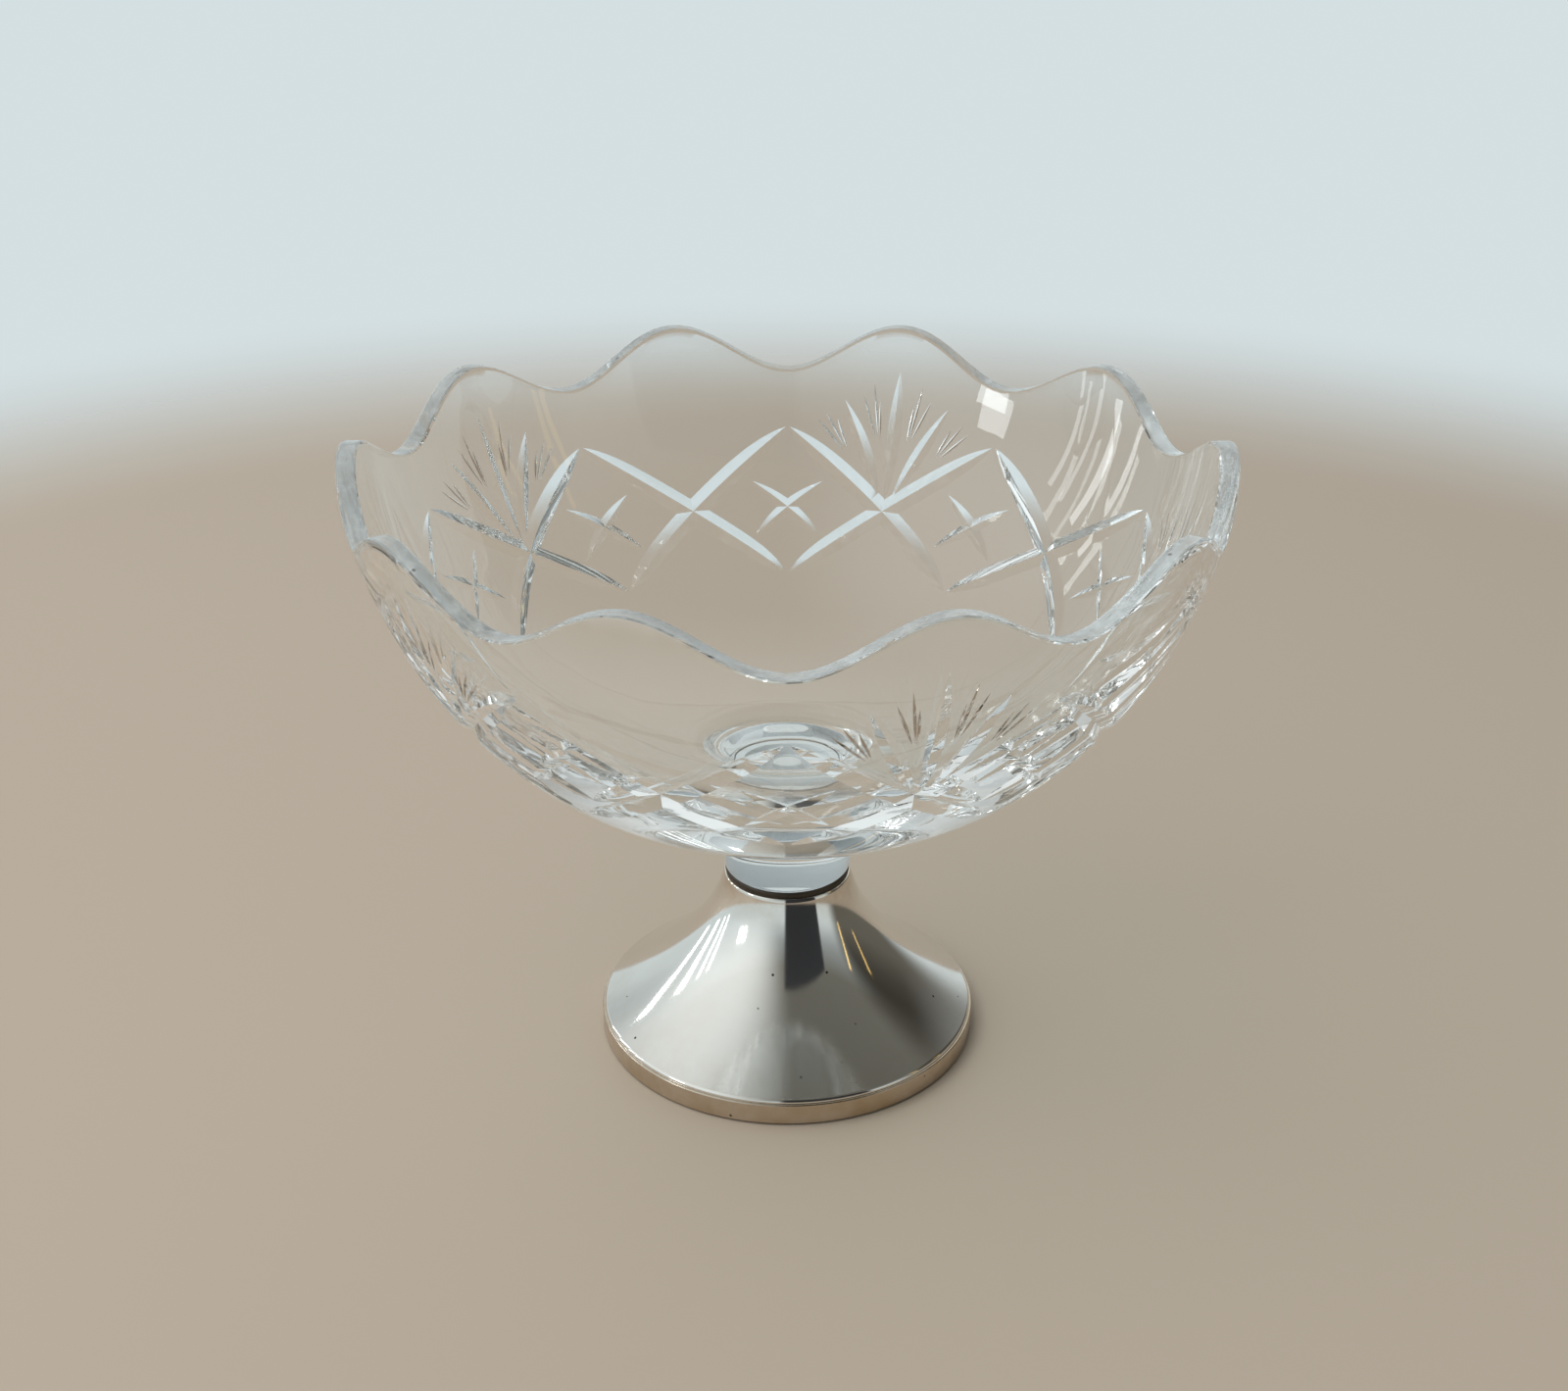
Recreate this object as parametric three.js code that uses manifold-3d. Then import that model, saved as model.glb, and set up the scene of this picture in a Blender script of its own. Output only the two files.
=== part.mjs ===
// Footed bowl of cut crystal with a scalloped edge, cemented into a weighted silver-plated foot.
// Millimetres, +Z up. The origin is the centre of the resting face, on the table.
// Angles round the bowl are degrees from the front, which faces -Y, turning towards +X.

import * as THREE from 'three';
import { mergeVertices } from 'three/addons/utils/BufferGeometryUtils.js';
import Module from 'manifold-3d';

// Driving dimensions of the foot
const BASE_RADIUS = 42.4; // outside of the band round the base
const BAND_HEIGHT = 4.6;
const BAND_WALL = 1.2;
const BAND_LIFT = 0.4; // lower edge of the band above the table
const BAND_ROUNDING = 0.3;
const LIP_SETBACK = 0.5; // the shell's lip lies this much inside the band
const LIP_ROLL = 1.1; // radius of the rolled lip
const LIP_TURN = Math.PI / 3; // the lip rolls this far before it runs into the trumpet
const FOOT_HEIGHT = 39.2; // mouth of the neck above the table
const NECK_RADIUS = 14.1; // outside of the shell at its mouth
const FLARE_OPENING = 0.25; // share of the flare that is a plain cone from the mouth on
const FLARE_POWER = 2.03; // 1 is a plain cone, more is a hollower trumpet
const SHEET = 0.9; // thickness of the spun shell
const FELT_THICKNESS = 1.5;
const FELT_MARGIN = 0.8; // bare plate left round the felt
const PLATE_THICKNESS = 1;
const COLLAR_HEIGHT = 0.6;
const COLLAR_SETBACK = 0.15; // the collar stands this much inside the stub above it
const COLLAR_BULGE = 0.15; // its outer face is rounded by this much
const COLLAR_WALL = 0.65;
const CEMENT_WALL = 2; // cement between the neck and the glass peg, with its gaps
const CEMENT_FLOOR = 1.2; // cement under the peg, with its gap
const PLUG_BEVEL = 1; // top edge of the cement that fills the hole in the stub
const GAP = 0.3; // line of solder, glue or cement between pieces that seat on each other

// Driving dimensions of the glass
const PEG_LENGTH = 12.2; // part of the stub that is cemented inside the neck
const PEG_WALL = 7; // glass round the blind hole up the middle of the stub
const SOCKET_ROOF = 21.5; // glass left between that hole and the underside of the bowl
const STUB_SETBACK = 0.1; // the stub is this much slimmer than the neck below it
const STUB_LENGTH = 18.2; // from the shoulder on the collar to the underside of the bowl
const STUB_SPREAD = 1.2; // the stub widens by this much up to the sweep
const STUB_FLARE = 9; // radius of the sweep from the stub into the bowl
const BOWL_DEPTH = 74.6; // from the underside to the middle height of the scalloped edge
const RIM_RADIUS = 90.8; // outside of the bowl at that height
const RIM_WALL = 4.1;
const RIM_BEVEL = 0.5; // bevel along both sides of the ground edge
const FLOOR_THICKNESS = 9;
const LOBES = 10;
const SCALLOP_HEIGHT = 10.8; // from the valleys of the edge to its peaks
const SCALLOP_REACH = 24; // the rows of the side follow the scallops this far down

// The side of the bowl is the lower part of a superellipse
const SIDE_SHARE = 0.816; // share of the curve's height that the side uses
const SIDE_POWER = 1.84;
const SIDE_ROUNDNESS = 2.46;

// Driving dimensions of the cutting
const WHEEL_ANGLE = 130; // included angle of the mitre wheel
const LIFT = 0.6; // the cutting wedge stands this far out of the glass
const RUN_OUT = 0.1; // the wheel has left the glass by this much at each end of a cut
const MITRE_DEPTH = 1.25;
const APEX_DROP = 19.4; // upper points of the diamonds below the middle height of the edge
const POINT_RISE = 23.3; // lower points of the diamonds above the underside
const CROSSING_SHARE = 0.43; // height of the crossings between those points
const STAR_DEPTH = 0.82; // small cross inside each diamond
const STAR_HALF_TURN = 6.7;
const STAR_HALF_HEIGHT = 6.1;
const LEAF_DEPTH = 0.85;
const LINE_DEPTH = 0.22;
const MITRE_FULLNESS = 5; // more keeps a cut broad to near its ends
const SHORT_FULLNESS = 2;
const FANS = 5; // every second crossing carries a fan

// Strokes of one side of a fan, from where to where: degrees from its middle, and shares of the
// height between the crossing and the edge. The middle leaf stands alone.
const MIDDLE_LEAF = { from: [0, 0.03], to: [0, 0.87] };
const SIDE_LEAF = { from: [0.9, 0.05], to: [8.9, 0.67] };
const FINE_LINES = [
  { from: [2.3, 0.4], to: [2.9, 0.67] },
  { from: [2.5, 0.4], to: [4.1, 0.79] },
  { from: [2.8, 0.41], to: [5.9, 0.71] },
  { from: [7.6, 0.34], to: [9.9, 0.55] },
  { from: [7.8, 0.34], to: [12, 0.59] },
  { from: [8, 0.33], to: [13.4, 0.54] },
];

// Facets
const METAL_COLUMNS = 40;
const COLUMNS_PER_LOBE = 8;
const SHELL_ROWS = 8;
const LINING_ROWS = 6; // inside of the shell, and what lies against it
const OUTSIDE_ROWS = 9;
const INSIDE_ROWS = 8;
const ROW_CROWDING = 1.65; // more draws the rows of the bowl closer together towards its floor
const SWEEP_ROWS = 4;
const MITRE_STEPS = 7;
const STAR_STEPS = 4;
const LEAF_STEPS = 4;
const LINE_STEPS = 2;

// Heights that follow from the sizes above
const bandTop = BAND_LIFT + BAND_HEIGHT;
const shellEdge = bandTop + GAP;
const plateUnderside = FELT_THICKNESS + GAP;
const plateTop = plateUnderside + PLATE_THICKNESS;
const collarBottom = FOOT_HEIGHT + GAP;
const shoulder = collarBottom + COLLAR_HEIGHT + GAP;
const pegBottom = shoulder - PEG_LENGTH;
const underside = shoulder + STUB_LENGTH;
const rimHeight = underside + BOWL_DEPTH;
const floorHeight = underside + FLOOR_THICKNESS;
const cementBottom = pegBottom - CEMENT_FLOOR;
const socketTop = underside - SOCKET_ROOF;

// Radii that follow from them
const bandInside = BASE_RADIUS - BAND_WALL;
const plateRadius = bandInside - GAP;
const lipRadius = BASE_RADIUS - LIP_SETBACK;
const pegRadius = NECK_RADIUS - SHEET - CEMENT_WALL;
const socketRadius = pegRadius - PEG_WALL;
const stubRadius = NECK_RADIUS - STUB_SETBACK;
const collarRadius = stubRadius - COLLAR_SETBACK;
const collarInside = collarRadius - COLLAR_WALL;
const sweepStart = Math.atan2(STUB_SPREAD, STUB_LENGTH - STUB_FLARE); // lean of the stub's side
const sweepRadius = stubRadius + STUB_SPREAD + STUB_FLARE * Math.cos(sweepStart);

const wasm = await Module();
wasm.setup();

// A closed geometry as a solid that can be joined and cut.
function toSolid(geometry) {
  const bare = geometry.clone();
  bare.deleteAttribute('normal');
  bare.deleteAttribute('uv');
  const merged = mergeVertices(bare, 1e-4);
  const vertProperties = merged.attributes.position.array;
  const triVerts = new Uint32Array(merged.index.array);
  return new wasm.Manifold(new wasm.Mesh({ numProp: 3, vertProperties, triVerts }));
}

// The way back, with flat faces.
function toGeometry(solid) {
  const { vertProperties, triVerts } = solid.getMesh();
  const geometry = new THREE.BufferGeometry();
  geometry.setAttribute('position', new THREE.BufferAttribute(vertProperties, 3));
  geometry.setIndex(new THREE.BufferAttribute(triVerts, 1));
  const faceted = geometry.toNonIndexed();
  faceted.computeVertexNormals();
  return faceted;
}

// Turns a profile of [radius, height] points round the Z axis.
function turned(profile, columns) {
  const points = profile.map(([radius, height]) => new THREE.Vector2(radius, height));
  return new THREE.LatheGeometry(points, columns).rotateX(Math.PI / 2);
}

// Points along a curve, given for a share from 0 to 1 of its length.
function rows(count, pointAt) {
  return Array.from({ length: count + 1 }, (_, i) => pointAt(i / count));
}

function turnedPiece(name, profile, color, roughness, metalness) {
  const material = new THREE.MeshStandardMaterial({ color, roughness, metalness });
  const mesh = new THREE.Mesh(turned(profile, METAL_COLUMNS), material);
  mesh.name = name;
  return mesh;
}

// The trumpet of the foot runs from the rolled lip up to the neck.
const flareStart = shellEdge + LIP_ROLL * Math.sin(LIP_TURN);
const flareFoot = lipRadius - LIP_ROLL * (1 - Math.cos(LIP_TURN));
const flareRun = flareFoot - NECK_RADIUS;
const flareRise = FOOT_HEIGHT - flareStart;

function flareShare(height) {
  return THREE.MathUtils.clamp((FOOT_HEIGHT - height) / flareRise, 0, 1);
}

// Radius of the trumpet, or of a surface that lies the given depth inside it, measured square to it.
function flareRadius(height, depth = 0) {
  const share = flareShare(height);
  const hollow = 1 - FLARE_OPENING;
  const reach = FLARE_OPENING * share + hollow * share ** FLARE_POWER;
  const slope = FLARE_OPENING + hollow * FLARE_POWER * share ** (FLARE_POWER - 1);
  return NECK_RADIUS + flareRun * reach - depth * Math.hypot(1, (slope * flareRun) / flareRise);
}

// Points up the inside of the shell, the given depth inside the trumpet.
function liningRows(bottom, top, depth) {
  return rows(LINING_ROWS, (share) => {
    const height = bottom + share * (top - bottom);
    return [flareRadius(height, depth), height];
  });
}

function footShell() {
  const lip = [0, LIP_TURN / 2].map((turn) => [
    lipRadius - LIP_ROLL * (1 - Math.cos(turn)),
    shellEdge + LIP_ROLL * Math.sin(turn),
  ]);
  const outside = rows(SHELL_ROWS, (share) => {
    const height = flareStart + share * flareRise;
    return [flareRadius(height), height];
  });
  const profile = [...lip, ...outside, ...liningRows(FOOT_HEIGHT, shellEdge, SHEET), lip[0]];
  return turnedPiece('foot_shell', profile, 0xcfccc4, 0.18, 1);
}

function baseBand() {
  const profile = [
    [bandInside, BAND_LIFT],
    [BASE_RADIUS - BAND_ROUNDING, BAND_LIFT],
    [BASE_RADIUS, BAND_LIFT + BAND_ROUNDING],
    [BASE_RADIUS, bandTop - BAND_ROUNDING],
    [BASE_RADIUS - BAND_ROUNDING, bandTop],
    [bandInside, bandTop],
    [bandInside, BAND_LIFT],
  ];
  return turnedPiece('base_band', profile, 0xc9c3b8, 0.22, 1);
}

function disc(name, radius, bottom, top, color, roughness, metalness) {
  const profile = [[0, bottom], [radius, bottom], [radius, top], [0, top]];
  return turnedPiece(name, profile, color, roughness, metalness);
}

function neckCollar() {
  const top = collarBottom + COLLAR_HEIGHT;
  const profile = [
    [collarInside, collarBottom],
    [collarRadius - COLLAR_BULGE, collarBottom],
    [collarRadius, collarBottom + COLLAR_HEIGHT / 2],
    [collarRadius - COLLAR_BULGE, top],
    [collarInside, top],
    [collarInside, collarBottom],
  ];
  return turnedPiece('neck_collar', profile, 0x3b352d, 0.45, 0.9);
}

// Cast filling that gives the foot its weight. It follows the inside of the shell.
function weightCore() {
  const bottom = plateTop + GAP;
  const side = liningRows(shellEdge, cementBottom - GAP, SHEET + GAP);
  const profile = [[0, bottom], [side[0][0], bottom], ...side, [0, side.at(-1)[1]]];
  return turnedPiece('weight_core', profile, 0x8a8378, 0.9, 0);
}

// White cement round the peg and under it, up the blind hole and out under the shoulder of the stub.
function cementBed() {
  const top = FOOT_HEIGHT - GAP;
  const plug = socketRadius - GAP;
  const plugTop = socketTop - GAP;
  const profile = [
    [0, cementBottom],
    ...liningRows(cementBottom, top, SHEET + GAP),
    [collarInside - GAP, top],
    [collarInside - GAP, shoulder - GAP],
    [pegRadius + GAP, shoulder - GAP],
    [pegRadius + GAP, pegBottom - GAP],
    [plug, pegBottom - GAP],
    [plug, plugTop - PLUG_BEVEL],
    [plug - PLUG_BEVEL, plugTop],
    [0, plugTop],
  ];
  return turnedPiece('cement_bed', profile, 0xeef0ee, 0.85, 0);
}

// Radius of the bowl's side, as a share of the rim's, for a share of the height up to the rim.
const wholeSide = 1 - (1 - SIDE_SHARE) ** SIDE_POWER;

function sideCurve(share) {
  const part = 1 - (1 - SIDE_SHARE * Math.max(0, share)) ** SIDE_POWER;
  return (part / wholeSide) ** (1 / SIDE_ROUNDNESS);
}

// The same curve read the other way.
function sideShare(radiusShare) {
  const part = wholeSide * radiusShare ** SIDE_ROUNDNESS;
  return (1 - (1 - part) ** (1 / SIDE_POWER)) / SIDE_SHARE;
}

function outsideRadius(height) {
  return RIM_RADIUS * sideCurve((height - underside) / BOWL_DEPTH);
}

function insideRadius(height) {
  return (RIM_RADIUS - RIM_WALL) * sideCurve((height - floorHeight) / (rimHeight - floorHeight));
}

// The stub widens a little and then sweeps out on an arc that ends on the curve of the side.
function blankProfile() {
  const sweepTop = underside + BOWL_DEPTH * sideShare(sweepRadius / RIM_RADIUS);
  const sweep = rows(SWEEP_ROWS, (share) => {
    const turn = sweepStart + share * (Math.PI / 2 - sweepStart);
    return [sweepRadius - STUB_FLARE * Math.cos(turn), sweepTop - STUB_FLARE * (1 - Math.sin(turn))];
  });
  const bevelHeight = rimHeight - RIM_BEVEL;
  const outside = rows(OUTSIDE_ROWS, (share) => {
    const height = sweepTop + (bevelHeight - sweepTop) * share ** ROW_CROWDING;
    return [outsideRadius(height), height];
  });
  const inside = rows(INSIDE_ROWS, (share) => {
    const height = floorHeight + (bevelHeight - floorHeight) * (1 - share) ** ROW_CROWDING;
    return [insideRadius(height), height];
  });
  return [
    [0, socketTop],
    [socketRadius, socketTop],
    [socketRadius, pegBottom],
    [pegRadius, pegBottom],
    [pegRadius, shoulder],
    [stubRadius, shoulder],
    ...sweep,
    ...outside.slice(1),
    [outsideRadius(rimHeight) - RIM_BEVEL, rimHeight],
    [insideRadius(rimHeight) + RIM_BEVEL, rimHeight],
    ...inside,
  ];
}

// Height of the edge above its middle, with a valley at the front.
function scallop(angle) {
  return (-SCALLOP_HEIGHT / 2) * Math.cos(LOBES * angle);
}

// The turned blank, with its upper rows drawn up and down to the scalloped edge along the side.
function scallopedBlank() {
  const blank = turned(blankProfile(), LOBES * COLUMNS_PER_LOBE);
  const position = blank.attributes.position;
  const point = new THREE.Vector3();
  for (let i = 0; i < position.count; i += 1) {
    point.fromBufferAttribute(position, i);
    const share = 1 - (rimHeight - point.z) / SCALLOP_REACH;
    if (share > 0) {
      const height = point.z + share * scallop(Math.atan2(point.x, -point.y));
      const drawn = outsideRadius(height) / outsideRadius(point.z);
      position.setXYZ(i, point.x * drawn, point.y * drawn, height);
    }
  }
  return blank;
}

function pointOutside(degrees, height) {
  const angle = THREE.MathUtils.degToRad(degrees);
  const radius = outsideRadius(height);
  return new THREE.Vector3(radius * Math.sin(angle), -radius * Math.cos(angle), height);
}

function normalOutside(degrees, height) {
  const angle = THREE.MathUtils.degToRad(degrees);
  const slope = (outsideRadius(height + 0.1) - outsideRadius(height - 0.1)) / 0.2;
  return new THREE.Vector3(Math.sin(angle), -Math.cos(angle), -slope).normalize();
}

// One cut of the mitre wheel. A V-shaped bar is laid along a path on the outside of the glass. Its
// keel dips to the full depth in the middle and leaves the glass at both ends.
// The path gives [degrees, height] for a share of its length.
function mitreCut(path, depth, steps, fullness) {
  const section = new THREE.Shape([
    new THREE.Vector2(-1, 1),
    new THREE.Vector2(0, 0),
    new THREE.Vector2(1, 1),
  ]);
  const bar = new THREE.ExtrudeGeometry(section, { depth: 1, steps, bevelEnabled: false });
  const spread = Math.tan(THREE.MathUtils.degToRad(WHEEL_ANGLE / 2));
  const position = bar.attributes.position;
  const vertex = new THREE.Vector3();
  for (let i = 0; i < position.count; i += 1) {
    vertex.fromBufferAttribute(position, i);
    const place = pointOutside(...path(vertex.z));
    const normal = normalOutside(...path(vertex.z));
    const along = pointOutside(...path(vertex.z + 0.01)).sub(pointOutside(...path(vertex.z - 0.01)));
    const sideways = normal.clone().cross(along).normalize();
    const keel = depth - (depth + RUN_OUT) * Math.abs(2 * vertex.z - 1) ** fullness;
    place.addScaledVector(normal, vertex.y > 0.5 ? LIFT : -keel);
    place.addScaledVector(sideways, vertex.x * (LIFT + keel) * spread);
    position.setXYZ(i, place.x, place.y, place.z);
  }
  return toSolid(bar);
}

const lobeTurn = 360 / LOBES;
const apexHeight = rimHeight - APEX_DROP;
const pointHeight = underside + POINT_RISE;
const crossingHeight = pointHeight + CROSSING_SHARE * (apexHeight - pointHeight);

// A long cut runs from an apex, through a crossing half a lobe on, to a lower point a lobe on.
function diamondPath(start, lean) {
  const bow = crossingHeight - (apexHeight + pointHeight) / 2;
  return (share) => [
    start + lean * lobeTurn * share,
    apexHeight + (pointHeight - apexHeight) * share + 4 * bow * share * (1 - share),
  ];
}

function starPath(middle, lean) {
  return (share) => [
    middle + lean * STAR_HALF_TURN * (2 * share - 1),
    crossingHeight + STAR_HALF_HEIGHT * (2 * share - 1),
  ];
}

function fanPath(middle, lean, { from, to }) {
  const rise = rimHeight - crossingHeight;
  return (share) => [
    middle + lean * (from[0] + (to[0] - from[0]) * share),
    crossingHeight + rise * (from[1] + (to[1] - from[1]) * share),
  ];
}

function fanCuts(middle) {
  const cuts = [mitreCut(fanPath(middle, 1, MIDDLE_LEAF), LEAF_DEPTH, LEAF_STEPS, SHORT_FULLNESS)];
  for (const lean of [-1, 1]) {
    cuts.push(mitreCut(fanPath(middle, lean, SIDE_LEAF), LEAF_DEPTH, LEAF_STEPS, SHORT_FULLNESS));
    for (const line of FINE_LINES) {
      cuts.push(mitreCut(fanPath(middle, lean, line), LINE_DEPTH, LINE_STEPS, SHORT_FULLNESS));
    }
  }
  return cuts;
}

function allCuts() {
  const cuts = [];
  for (let lobe = 0; lobe < LOBES; lobe += 1) {
    const middle = lobe * lobeTurn;
    for (const lean of [-1, 1]) {
      cuts.push(mitreCut(diamondPath(middle, lean), MITRE_DEPTH, MITRE_STEPS, MITRE_FULLNESS));
      cuts.push(mitreCut(starPath(middle, lean), STAR_DEPTH, STAR_STEPS, SHORT_FULLNESS));
    }
  }
  for (let fan = 0; fan < FANS; fan += 1) {
    cuts.push(...fanCuts(lobeTurn / 2 + (fan * 360) / FANS));
  }
  return wasm.Manifold.union(cuts);
}

function crystalBowl() {
  const cut = toSolid(scallopedBlank()).subtract(allCuts());
  const material = new THREE.MeshStandardMaterial({
    color: 0xe4ecec,
    roughness: 0.05,
    metalness: 0,
    transparent: true,
    opacity: 0.45,
  });
  const mesh = new THREE.Mesh(toGeometry(cut), material);
  mesh.name = 'crystal_bowl';
  return mesh;
}

const footedBowl = new THREE.Group();
footedBowl.add(
  crystalBowl(),
  cementBed(),
  neckCollar(),
  footShell(),
  weightCore(),
  baseBand(),
  disc('base_plate', plateRadius, plateUnderside, plateTop, 0x9a958b, 0.5, 1),
  disc('felt_pad', plateRadius - FELT_MARGIN, 0, FELT_THICKNESS, 0x2c4a3a, 0.95, 0),
);

export default footedBowl;
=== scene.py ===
import math

import bpy
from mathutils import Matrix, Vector


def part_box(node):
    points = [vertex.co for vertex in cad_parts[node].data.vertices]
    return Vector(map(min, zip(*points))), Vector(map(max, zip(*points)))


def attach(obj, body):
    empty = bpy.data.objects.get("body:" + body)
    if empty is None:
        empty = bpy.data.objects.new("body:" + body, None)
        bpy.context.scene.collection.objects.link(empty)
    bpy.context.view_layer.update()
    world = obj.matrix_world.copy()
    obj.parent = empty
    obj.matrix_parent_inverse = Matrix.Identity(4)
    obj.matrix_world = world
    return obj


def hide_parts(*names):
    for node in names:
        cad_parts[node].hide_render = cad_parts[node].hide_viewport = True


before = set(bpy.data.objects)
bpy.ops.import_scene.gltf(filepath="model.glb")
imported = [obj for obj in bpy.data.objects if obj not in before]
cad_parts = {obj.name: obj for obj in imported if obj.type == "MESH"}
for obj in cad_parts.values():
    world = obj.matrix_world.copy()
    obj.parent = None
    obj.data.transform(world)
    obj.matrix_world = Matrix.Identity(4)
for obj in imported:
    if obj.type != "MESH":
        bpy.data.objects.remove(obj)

bl_info = {
    "name": "Footed Crystal Bowl",
    "version": (1, 0, 0),
    "blender": (4, 5, 0),
    "location": "View3D > Sidebar > Crystal Bowl",
    "description": "Dresses a footed bowl in cut crystal, silver plate, cement and felt",
    "category": "Add Mesh",
}

# Metres, +Z up. Angles round the bowl turn from the front, which faces -Y, towards +X.
MM = 0.001
TOUCHING = MM / 1000
LAP = 0.05 * MM  # cement bites this far into the glass, so that no air shows between them
BOX = {name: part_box(name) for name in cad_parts}
CUT_COLUMNS = 240
METAL_COLUMNS = 192
CORNER_STEPS = 5
BEVEL_SHARE = 0.32  # the middle point of a bevel lies this share of it inwards


def length(name, description, default):
    """A size in metres that a user can change."""
    return bpy.props.FloatProperty(
        name=name, description=description, default=default, min=0.0, precision=5,
        unit="LENGTH", subtype="DISTANCE",
    )


def turn_angle(name, description, degrees):
    """An angle that a user can change."""
    return bpy.props.FloatProperty(
        name=name, description=description, default=math.radians(degrees),
        unit="ROTATION", subtype="ANGLE",
    )


def share(name, description, default):
    """A plain share from nothing to all."""
    return bpy.props.FloatProperty(
        name=name, description=description, default=default, min=0.0, max=1.0, subtype="FACTOR"
    )


def colour(name, description, default):
    """A linear colour that a user can change."""
    return bpy.props.FloatVectorProperty(
        name=name, description=description, default=default, size=3, min=0.0, max=1.0,
        subtype="COLOR",
    )


class GlassSizes(bpy.types.PropertyGroup):
    """Sizes of the blown and ground blank."""

    underside: length("Underside", "Height of the lowest point of the bowl's curve", 0.0586)
    bowl_depth: length("Bowl Depth", "Underside to the middle height of the edge", 0.0746)
    rim_radius: length("Rim Radius", "Outside of the bowl at the edge", 0.0908)
    rim_wall: length("Rim Wall", "Thickness of the ground edge", 0.0041)
    rim_bevel: length("Rim Bevel", "Bevel along both sides of the ground edge", 0.0006)
    floor_thickness: length("Floor Thickness", "Glass in the middle of the bowl", 0.009)
    scallop_height: length("Scallop Height", "From the valleys of the edge to its peaks", 0.0108)
    scallop_reach: length("Scallop Reach", "The side follows the scallops this far down", 0.024)
    stub_radius: length("Stub Radius", "Solid stub under the bowl, at its shoulder", 0.014)
    stub_spread: length("Stub Spread", "The stub widens by this much up to the sweep", 0.0012)
    stub_flare: length("Stub Flare", "Sweep from the stub into the bowl", 0.009)
    peg_radius: length("Peg Radius", "Part of the stub inside the neck", 0.0112)
    socket_radius: length("Socket Radius", "Blind hole up the middle of the stub", 0.0042)
    socket_roof: length("Socket Roof", "Glass left above that hole", 0.0215)
    shoulder: length("Shoulder", "Height at which the stub rests on the collar", 0.0404)
    lobes: bpy.props.IntProperty(
        name="Scallops", description="Scallops round the edge", default=10, min=3
    )


class CuttingSizes(bpy.types.PropertyGroup):
    """Sizes of the mitre cutting on the outside."""

    wheel_angle: turn_angle("Wheel Angle", "Included angle of the mitre wheel", 130)
    mitre_depth: length("Mitre Depth", "Long cuts that cross into diamonds", 0.00125)
    star_depth: length("Star Depth", "Small cross in each diamond", 0.00082)
    leaf_depth: length("Leaf Depth", "Broad leaves of a fan", 0.00085)
    line_depth: length("Line Depth", "Fine lines of a fan", 0.00028)
    line_angle: turn_angle("Line Angle", "Included angle of the wheel for fine lines", 100)
    apex_drop: length("Apex Drop", "Tops of the diamonds below the edge", 0.0194)
    point_rise: length("Point Rise", "Feet of the diamonds above the underside", 0.0233)
    crossing_share: share("Crossing", "Height of the crossings in a diamond", 0.43)
    star_turn: turn_angle("Star Half Width", "Half the width of the small cross", 6.7)
    star_rise: length("Star Half Height", "Half the height of the small cross", 0.0061)
    fans: bpy.props.IntProperty(name="Fans", description="Fans round the bowl", default=5, min=1)


class FootSizes(bpy.types.PropertyGroup):
    """Sizes of the weighted foot."""

    base_radius: length("Base Radius", "Outside of the band", BOX["base_band"][1].x)
    band_bottom: length("Band Bottom", "Lower edge of the band", BOX["base_band"][0].z)
    band_wall: length("Band Wall", "Thickness of the band", 0.0012)
    lip_radius: length("Lip Radius", "Outside of the rolled lip", BOX["foot_shell"][1].x)
    lip_roll: length("Lip Roll", "Radius of the rolled lip", 0.0011)
    shell_edge: length("Shell Edge", "Lower edge of the shell", BOX["foot_shell"][0].z)
    foot_height: length("Foot Height", "Mouth of the neck", BOX["foot_shell"][1].z)
    neck_radius: length("Neck Radius", "Outside of the shell at its mouth", 0.0141)
    sheet: length("Sheet", "Thickness of the spun shell", 0.0009)
    flare_power: bpy.props.FloatProperty(
        name="Flare", description="1 is a cone, more is a hollower trumpet", default=2.03, min=1.0
    )
    opening: share("Opening", "Share of the flare that is a plain cone from the mouth on", 0.25)


class Finishes(bpy.types.PropertyGroup):
    """Colours of the finishes."""

    crystal: colour("Crystal", "Clear lead glass", (0.985, 0.995, 0.99))
    # Painted refraction: the fine lines are a little rougher than the polished cuts, and their dark
    # brown tint stands in for dark surroundings seen through them.
    fine_cuts: colour("Fine Cuts", "Unpolished fine lines of the fans", (0.32, 0.24, 0.18))
    ground_glass: colour("Ground Glass", "Satin edge left by the grinding", (0.9, 0.95, 0.96))
    # White plaster cement; its cool blue tint is painted reflection of sky light.
    cement: colour("Cement", "White plaster cement", (0.86, 0.89, 0.92))
    silver: colour("Silver", "Polished silver plate", (0.86, 0.84, 0.8))
    # Painted reflection: the band's plate colour is darkened and warmed so that it shows a darker,
    # browner table than the pale one it mirrors.
    band: colour("Base Band", "Plate worn warmer on the band", (0.68, 0.6, 0.52))
    tarnish: colour("Tarnish", "Warm film on old plate", (0.5, 0.38, 0.25))
    collar: colour("Collar", "Dark metal ring at the neck", (0.055, 0.045, 0.035))
    plate: colour("Base Plate", "Dull sheet under the foot", (0.5, 0.48, 0.44))
    filling: colour("Filling", "Cast weight inside the foot", (0.4, 0.37, 0.33))
    felt: colour("Felt", "Wool felt on the base", (0.025, 0.07, 0.045))


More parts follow.
